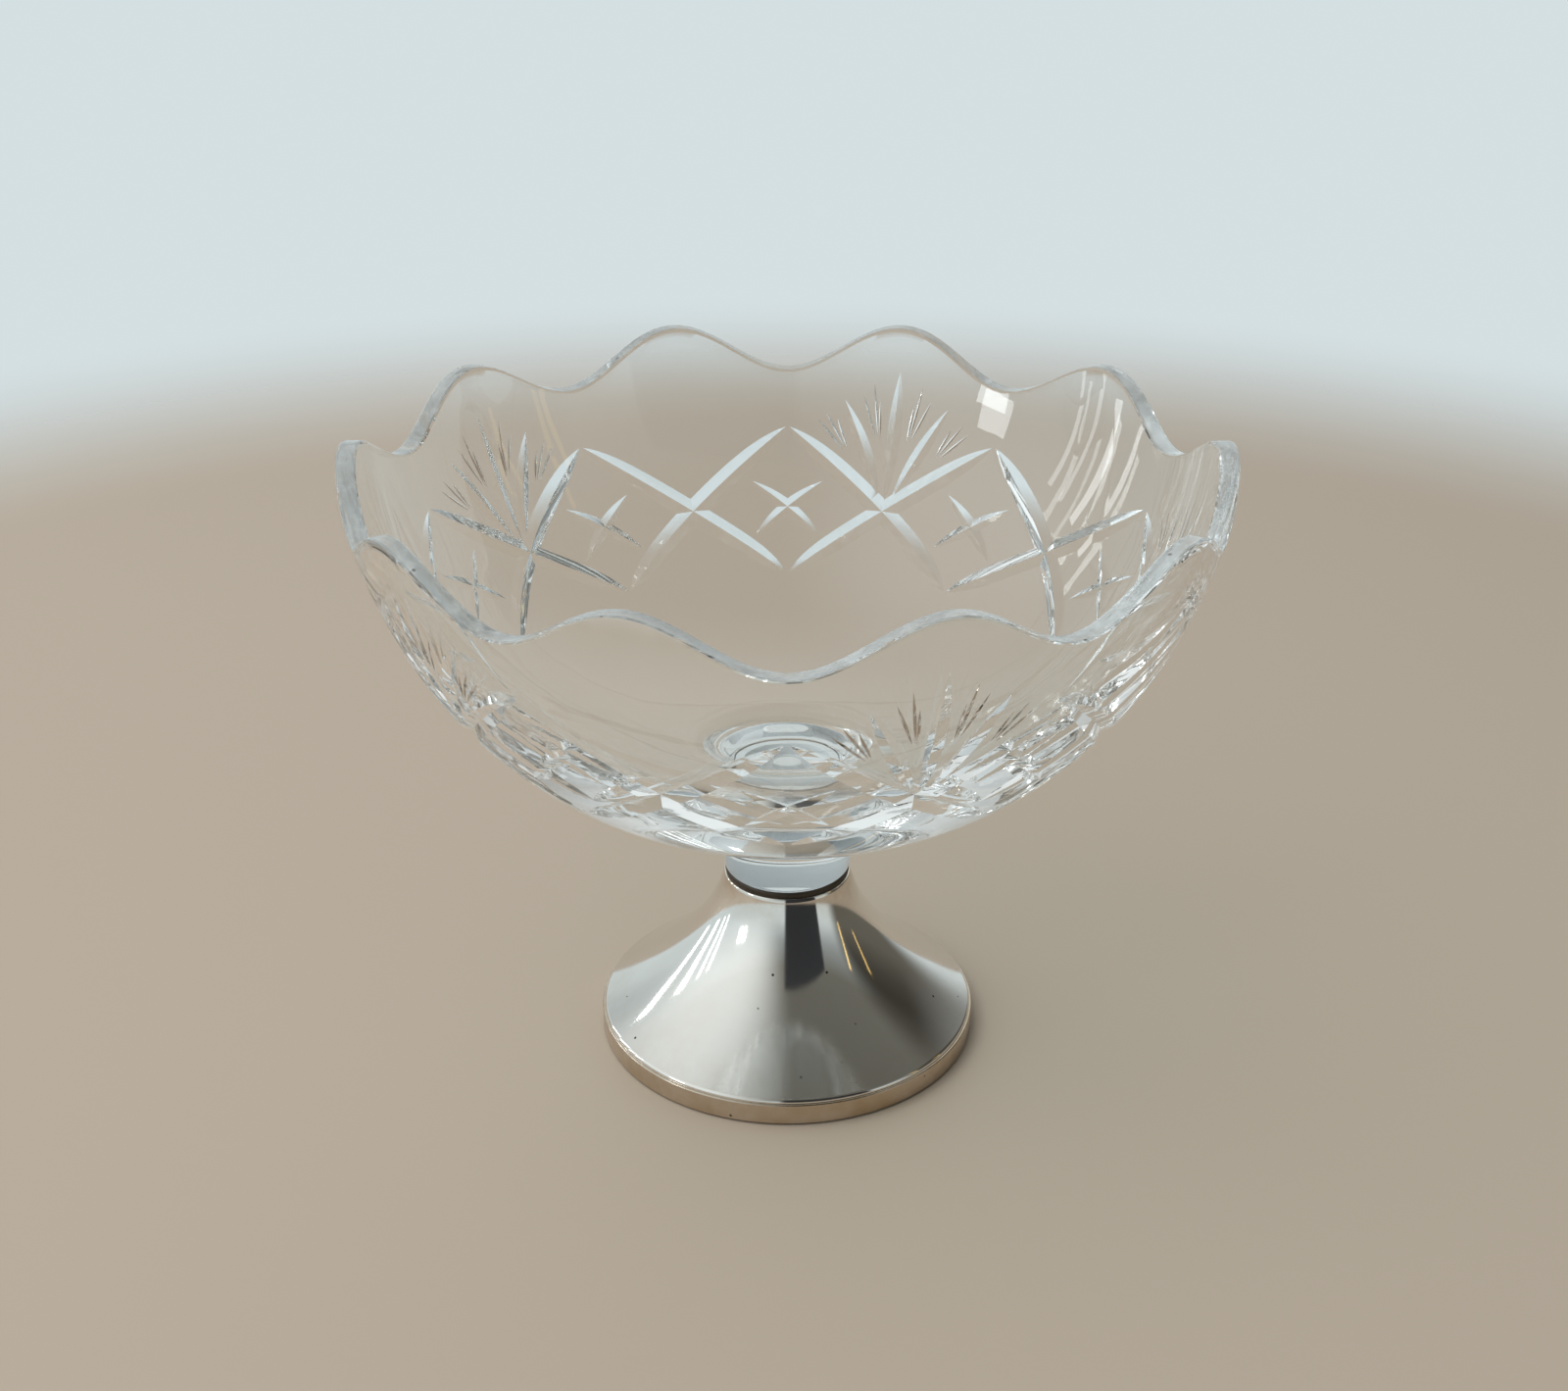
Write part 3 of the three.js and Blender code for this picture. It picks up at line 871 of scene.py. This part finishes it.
class CRYSTALBOWL_OT_glass(bpy.types.Operator):
    """Turns the glass, draws its scalloped edge and cuts its pattern"""

    bl_idname = "crystal_bowl.glass"
    bl_label = "Crystal Bowl"

    def execute(self, context):
        sizes, cutting = settings().glass, settings().cutting
        side = Side(sizes)
        bowl = turned("cut_crystal_bowl", blank_section(sizes, side), CUT_COLUMNS)
        draw_scallops(bowl, sizes, side)
        names = ("Clear crystal", "Ground glass", "Cut crystal", "Fine cuts")
        dress(bowl, *(finish(name) for name in names))
        for face in bowl.data.polygons:
            level = abs(face.normal.z) > LEVEL
            high = face.center.z > side.rim_height - sizes.scallop_height / 2 - sizes.rim_bevel
            radius = math.hypot(face.center.x, face.center.y)
            if level and high and radius > sizes.rim_radius - sizes.rim_wall - MM:
                face.material_index = 1
        cut_pattern(bowl, sizes, cutting, side)
        take(bowl)
        bpy.ops.object.shade_smooth_by_angle(angle=math.radians(CUT_SHARP))
        seat(bowl, "crystal", "crystal_bowl")
        return {"FINISHED"}


COLLAR_WALL = 0.8 * MM  # the cement reaches out under the shoulder to the thin dark collar
LIP_TURN = 60  # the lip rolls this far before it runs into the trumpet
SHELL_OUTSIDE_ROWS = 56
SHELL_INSIDE_ROWS = 20
LIP_STEPS = 8
CEMENT_ROWS = 12
COLLAR_ROWS = 8
ROOF_STEPS = 6


def flare(foot):
    """Radius of the trumpet at a height, or of a surface a given depth inside it."""
    start = foot.shell_edge + foot.lip_roll * math.sin(math.radians(LIP_TURN))
    run = foot.lip_radius - foot.lip_roll * (1 - math.cos(math.radians(LIP_TURN)))
    run -= foot.neck_radius
    climb = foot.foot_height - start

    def radius(height, depth=0.0):
        part = min(1.0, max(0.0, (foot.foot_height - height) / climb))
        hollow = 1 - foot.opening
        reach = foot.opening * part + hollow * part**foot.flare_power
        slope = foot.opening + hollow * foot.flare_power * part ** (foot.flare_power - 1)
        return foot.neck_radius + run * reach - depth * math.hypot(1, slope * run / climb)

    return radius, start


class CRYSTALBOWL_OT_cement(bpy.types.Operator):
    """Fills the neck and the hole in the stub with white cement"""

    bl_idname = "crystal_bowl.cement"
    bl_label = "Cement"

    def execute(self, context):
        glass, foot = settings().glass, settings().foot
        radius, _ = flare(foot)
        low, high = BOX["cement_bed"]
        peg_bottom = BOX["crystal_bowl"][0].z
        top = foot.foot_height - 0.3 * MM
        roof = glass.underside - glass.socket_roof + LAP
        inner, plug = glass.peg_radius - LAP, glass.socket_radius + LAP
        seat_radius = glass.stub_radius - COLLAR_WALL

        def wall(t):
            height = low.z + t * (top - low.z)
            return radius(height, foot.sheet + LAP), height

        section = [
            (0, low.z),
            *rows(CEMENT_ROWS, wall),
            (seat_radius, top),
            (seat_radius, glass.shoulder + LAP),
            (inner, glass.shoulder + LAP),
            (inner, peg_bottom + LAP),
            (plug, peg_bottom + LAP),
            *arc((plug - MM, roof - MM), MM, 0, 90, ROOF_STEPS),
            (0, roof),
        ]
        columns = METAL_COLUMNS // 2
        return fit("white_cement", section, "White cement", "cement", "cement_bed", columns)


class CRYSTALBOWL_OT_collar(bpy.types.Operator):
    """Lays the dark ring between the glass and the neck"""

    bl_idname = "crystal_bowl.collar"
    bl_label = "Neck Collar"

    def execute(self, context):
        foot, glass = settings().foot, settings().glass
        low, high = foot.foot_height - LAP, glass.shoulder + 0.1 * MM
        inner, outer = glass.stub_radius - COLLAR_WALL, glass.stub_radius - 0.15 * MM
        bulge = 0.2 * MM

        def face(t):
            return outer - bulge * (2 * t - 1) ** 2, low + t * (high - low)

        section = [(inner, low), *rows(COLLAR_ROWS, face), (inner, high), (inner, low)]
        return fit("dark_neck_collar", section, "Dark collar", "dark_collar", "neck_collar")


class CRYSTALBOWL_OT_shell(bpy.types.Operator):
    """Spins the trumpet of the foot with its rolled lip"""

    bl_idname = "crystal_bowl.shell"
    bl_label = "Foot Shell"

    def execute(self, context):
        foot = settings().foot
        radius, start = flare(foot)
        top = foot.foot_height
        lip_centre = (foot.lip_radius - foot.lip_roll, foot.shell_edge)
        brim = 0.25 * MM
        cut = 0.3 * brim
        edge = (foot.lip_radius - foot.sheet, foot.shell_edge)

        def outside(t):
            height = start + t * (top - brim - start)
            return radius(height), height

        def inside(t):
            height = top - t * (top - start)
            return radius(height, foot.sheet), height

        section = [
            edge,
            *arc(lip_centre, foot.lip_roll, 0, LIP_TURN, LIP_STEPS),
            *rows(SHELL_OUTSIDE_ROWS, outside)[1:],
            (radius(top) - cut, top - cut),
            (radius(top) - brim, top),
            *rows(SHELL_INSIDE_ROWS, inside),
            edge,
        ]
        return fit("silver_foot_shell", section, "Silver plate", "silver_plate", "foot_shell")


class CRYSTALBOWL_OT_band(bpy.types.Operator):
    """Bends the upright band round the base"""

    bl_idname = "crystal_bowl.band"
    bl_label = "Base Band"

    def execute(self, context):
        foot = settings().foot
        low, high = foot.band_bottom, foot.shell_edge - 0.03 * MM
        outer, inner = foot.base_radius, foot.base_radius - foot.band_wall
        corner = 0.35 * MM
        section = [
            (inner, low),
            *arc((outer - corner, low + corner), corner, -90, 0, CORNER_STEPS),
            *arc((outer - corner, high - corner), corner, 0, 90, CORNER_STEPS),
            (inner, high),
            (inner, low),
        ]
        return fit("silver_base_band", section, "Silver band", "silver_plate", "base_band")


class CRYSTALBOWL_OT_underside(bpy.types.Operator):
    """Closes the foot: felt pad, base plate and the weight inside"""

    bl_idname = "crystal_bowl.underside"
    bl_label = "Felt, Plate and Weight"

    def execute(self, context):
        low, high = BOX["felt_pad"]
        corner = 0.45 * MM
        section = [
            (0, low.z),
            *rows(4, lambda t: ((high.x - corner) * (0.2 + 0.8 * t), low.z)),
            *arc((high.x - corner, low.z + corner), corner, -90, 0, CORNER_STEPS)[1:],
            (high.x, high.z),
            (0, high.z),
        ]
        for node, name in (("base_plate", "Sheet metal"), ("weight_core", "Cast filling")):
            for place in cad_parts[node].material_slots:
                place.material = finish(name)
        return fit("felt_base_pad", section, "Wool felt", "felt", "felt_pad", sharp=40)


# Stage

FLOOR_RADIUS = 2.0
FADE_START = 0.4  # the table's colour begins to give way to the surroundings here
FADE_END = 0.62
GLASS_BOUNCES = 32  # light runs to and fro in thick cut glass, and turns black if it is stopped

# Directions in the room, and the cosines between which light or shade sets in round them
DAYLIGHT_FROM = (-0.86, -0.22, 0.44)
DAYLIGHT_EDGE = 0.42
DAYLIGHT_GLOW = 0.8
BACKLIGHT_FROM = (0.05, 0.78, 0.62)
BACKLIGHT_EDGE = 0.62
BACKLIGHT_GLOW = 0.7
GLOW_HEIGHT = 0.55  # both lights are full above this sine of the height over the table
SHADE_FROM = (0.95, 0.3, 0.05)
SHADE_EDGE = 0.72
SHADE_FULL = 0.9
SHADE_TINT = (0.2, 0.17, 0.14)

# Place, width and height in metres, and watts of each lamp
WINDOW_PANES = (
    ((-1.16, 0.1, 0.3), (0.03, 0.5), 0.16),
    ((-1.12, 0.22, 0.3), (0.03, 0.5), 0.14),
    ((-1.07, 0.39, 0.3), (0.06, 0.5), 0.45),
    ((-0.98, 0.59, 0.3), (0.04, 0.5), 0.28),
    ((-1.04, -0.48, 0.34), (0.2, 0.15), 0.55),
)
TOP_LAMP = ((-0.5, -0.2, 1.3), (1.0, 1.0), 8.5)
WARM_STRIPS = (
    ((0.95, -0.2, 0.35), (0.025, 0.4), 0.04),
    ((0.97, 0.12, 0.33), (0.02, 0.3), 0.02),
)
WARM = (1.0, 0.68, 0.22)
LAMPS_AIM = Vector((0, 0, 0.07))

CARD_PLACE = (0.32, -0.62, 0.29)
CARD_SIZE = (0.76, 0.82)
CARD_FADE = 0.05  # the card thins out over this much along its edges
CARD_TINT = (0.03, 0.03, 0.035)

CAMERA_TURN = 0.1  # degrees


def around(tree, facing, towards, edge, full=1.0):
    """A mask round a direction, from nothing at one cosine to all at another."""
    near = reckon_vectors(tree, "DOT_PRODUCT", facing, Vector(towards).normalized())
    return rise(tree, near, From_Min=edge, From_Max=full)


def placed(name, data, place, turn):
    """Puts a lamp or the camera into the scene."""
    holder = bpy.data.objects.new(name, data)
    bpy.context.collection.objects.link(holder)
    holder.location = place
    holder.rotation_euler = turn
    return holder


class CRYSTALBOWL_OT_stage(bpy.types.Operator):
    """Sets the table, the surroundings, the lamps and the camera"""

    bl_idname = "crystal_bowl.stage"
    bl_label = "Stage"

    def execute(self, context):
        look = settings().stage
        self.table(look)
        self.surroundings(look)
        self.lamps(look)
        self.dark_card()
        self.camera(look)
        scene = context.scene
        scene.view_settings.view_transform = "Standard"
        for kind in ("max", "glossy", "transmission", "transparent_max"):
            setattr(scene.cycles, kind + "_bounces", GLASS_BOUNCES)
        return {"FINISHED"}

    def table(self, look):
        """A round table top that gives way to the surroundings far off."""
        bpy.ops.object.select_all(action="DESELECT")
        bpy.ops.mesh.primitive_circle_add(
            vertices=96, radius=FLOOR_RADIUS, fill_type="NGON", location=(0, 0, 0)
        )
        top = bpy.context.object
        top.name = top.data.name = "table_top"
        material, tree, shader, coords = new_material(
            "Plain table", Base_Color=look.floor, Roughness=0.6, Specular_IOR_Level=0.25
        )
        away = reckon_vectors(tree, "LENGTH", coords)
        fade = rise(tree, away, From_Min=FADE_START, From_Max=FADE_END)
        mix_shaders(tree, fade, shader, put(tree, "ShaderNodeBsdfTransparent"))
        dress(top, material)

    def surroundings(self, look):
        """A pale wall all round, darker above, lit from two sides and shaded on a third."""
        world = bpy.data.worlds.new("Surroundings")
        bpy.context.scene.world = world
        world.use_nodes = True
        tree = world.node_tree
        facing = put(tree, "ShaderNodeTexCoord").outputs["Generated"]
        height = split(tree, facing)["Z"]
        pale, ceiling = tuple(look.surround), tuple(look.ceiling)
        stops = (
            (0.0, pale),
            (0.15, toned(pale, 0.95)),
            (0.38, toned(pale, 0.48)),
            (0.6, toned(ceiling, 1.3)),
            (1.0, ceiling),
        )
        walls = ramp(tree, stops, height)
        path = put(tree, "ShaderNodeLightPath").outputs
        seen = reckon(tree, "MAXIMUM", path["Is Camera Ray"], path["Is Transmission Ray"])
        only_mirrored = reckon(tree, "SUBTRACT", 1.0, seen)
        shade = around(tree, facing, SHADE_FROM, SHADE_EDGE, SHADE_FULL)
        dark = reckon(tree, "MULTIPLY", shade, only_mirrored)
        veil = tint_between(tree, dark, (1, 1, 1), SHADE_TINT)
        shaded = reckon_vectors(tree, "MULTIPLY", walls, veil)
        daylight = around(tree, facing, DAYLIGHT_FROM, DAYLIGHT_EDGE)
        backlight = around(tree, facing, BACKLIGHT_FROM, BACKLIGHT_EDGE)
        back = reckon(tree, "MULTIPLY", backlight, BACKLIGHT_GLOW)
        both = reckon(tree, "MULTIPLY_ADD", daylight, DAYLIGHT_GLOW, back)
        upper = rise(tree, height, From_Min=0.0, From_Max=GLOW_HEIGHT)
        glow = reckon(tree, "MULTIPLY", both, upper)
        light = reckon_vectors(tree, "MULTIPLY_ADD", glow, look.window, shaded)
        feed(tree, tree.nodes["Background"].inputs["Color"], light)

    def lamps(self, look):
        """Panes of a window on the left, a soft lamp above and warm strips on the right."""
        lights = [
            *((f"Window pane {i}", *pane, look.window) for i, pane in enumerate(WINDOW_PANES, 1)),
            ("Top lamp", *TOP_LAMP, look.lamp),
            *((f"Warm strip {i}", *strip, WARM) for i, strip in enumerate(WARM_STRIPS, 1)),
        ]
        for name, place, (width, height), power, tint in lights:
            lamp = bpy.data.lights.new(name, "AREA")
            lamp.shape = "RECTANGLE"
            lamp.size, lamp.size_y = width, height
            lamp.energy = power
            lamp.color = tint
            aim = LAMPS_AIM - Vector(place)
            holder = placed(name, lamp, place, aim.to_track_quat("-Z", "Y").to_euler())
            holder.visible_camera = False
            holder.visible_glossy = holder.visible_transmission = name != "Top lamp"

    def dark_card(self):
        """A card with soft edges, seen only in reflections, for the silver's dark stripe."""
        bpy.ops.object.select_all(action="DESELECT")
        bpy.ops.mesh.primitive_plane_add(
            size=1, location=CARD_PLACE, rotation=(math.radians(90), 0, 0)
        )
        card = bpy.context.object
        card.name = card.data.name = "dark_flag"
        card.scale = (*CARD_SIZE, 1)
        bpy.ops.object.transform_apply(location=True, rotation=True, scale=True)
        made = new_material("Black card", Base_Color=CARD_TINT, Roughness=0.9)
        material, tree, shader, coords = made
        parts = split(tree, coords)
        across = ("X", CARD_PLACE[0], CARD_SIZE[0] / 2)
        upwards = ("Z", CARD_PLACE[2], CARD_SIZE[1] / 2)
        masks = []
        for axis, middle, half in (across, upwards):
            away = reckon(tree, "SUBTRACT", parts[axis], middle)
            masks.append(rise(
                tree, reckon(tree, "ABSOLUTE", away),
                From_Min=half - CARD_FADE, From_Max=half, To_Min=1.0, To_Max=0.0,
            ))
        feed(tree, shader.inputs["Alpha"], reckon(tree, "MULTIPLY", *masks))
        dress(card, material)
        for rays in ("camera", "shadow", "diffuse", "transmission"):
            setattr(card, "visible_" + rays, False)

    def camera(self, look):
        """The photograph's viewpoint."""
        lens = bpy.data.cameras.new("Camera")
        lens.sensor_width = 36
        lens.sensor_fit = "HORIZONTAL"
        lens.lens = look.lens
        lens.clip_start = 0.01
        place = (0, -look.camera_distance, look.camera_height)
        turn = (look.camera_pitch, 0, math.radians(CAMERA_TURN))
        bpy.context.scene.camera = placed("Camera", lens, place, turn)


class CrystalBowlSettings(bpy.types.PropertyGroup):
    """All settings of the add-on."""

    glass: bpy.props.PointerProperty(type=GlassSizes, name="Glass")
    cutting: bpy.props.PointerProperty(type=CuttingSizes, name="Cutting")
    foot: bpy.props.PointerProperty(type=FootSizes, name="Foot")
    finishes: bpy.props.PointerProperty(type=Finishes, name="Finishes")
    stage: bpy.props.PointerProperty(type=StageLook, name="Stage")


class CRYSTALBOWL_PT_panel(bpy.types.Panel):
    """Lists the pieces in the order in which they are made."""

    bl_idname = "CRYSTALBOWL_PT_panel"
    bl_label = "Footed Crystal Bowl"
    bl_space_type = "VIEW_3D"
    bl_region_type = "UI"
    bl_category = "Crystal Bowl"

    def draw(self, context):
        for operator in PIECES:
            self.layout.operator(operator.bl_idname)
        for name in CrystalBowlSettings.__annotations__:
            box = self.layout.box()
            block = getattr(context.scene.crystal_bowl, name)
            box.label(text=name.capitalize())
            for key in block.__annotations__:
                box.prop(block, key)


PIECES = (
    CRYSTALBOWL_OT_glass,
    CRYSTALBOWL_OT_cement,
    CRYSTALBOWL_OT_collar,
    CRYSTALBOWL_OT_shell,
    CRYSTALBOWL_OT_band,
    CRYSTALBOWL_OT_underside,
    CRYSTALBOWL_OT_stage,
)
CLASSES = (
    GlassSizes,
    CuttingSizes,
    FootSizes,
    Finishes,
    StageLook,
    CrystalBowlSettings,
    *PIECES,
    CRYSTALBOWL_PT_panel,
)


def register():
    """Registers the add-on's classes and settings."""
    for cls in CLASSES:
        bpy.utils.register_class(cls)
    bpy.types.Scene.crystal_bowl = bpy.props.PointerProperty(type=CrystalBowlSettings)


def unregister():
    """Removes the settings and the classes."""
    del bpy.types.Scene.crystal_bowl
    for cls in reversed(CLASSES):
        bpy.utils.unregister_class(cls)


def main():
    """Makes every piece and the stage."""
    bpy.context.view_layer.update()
    register()
    for piece in PIECES:
        made = piece.bl_idname.split(".")[1]
        getattr(bpy.ops.crystal_bowl, made)()


if __name__ == "__main__":
    main()
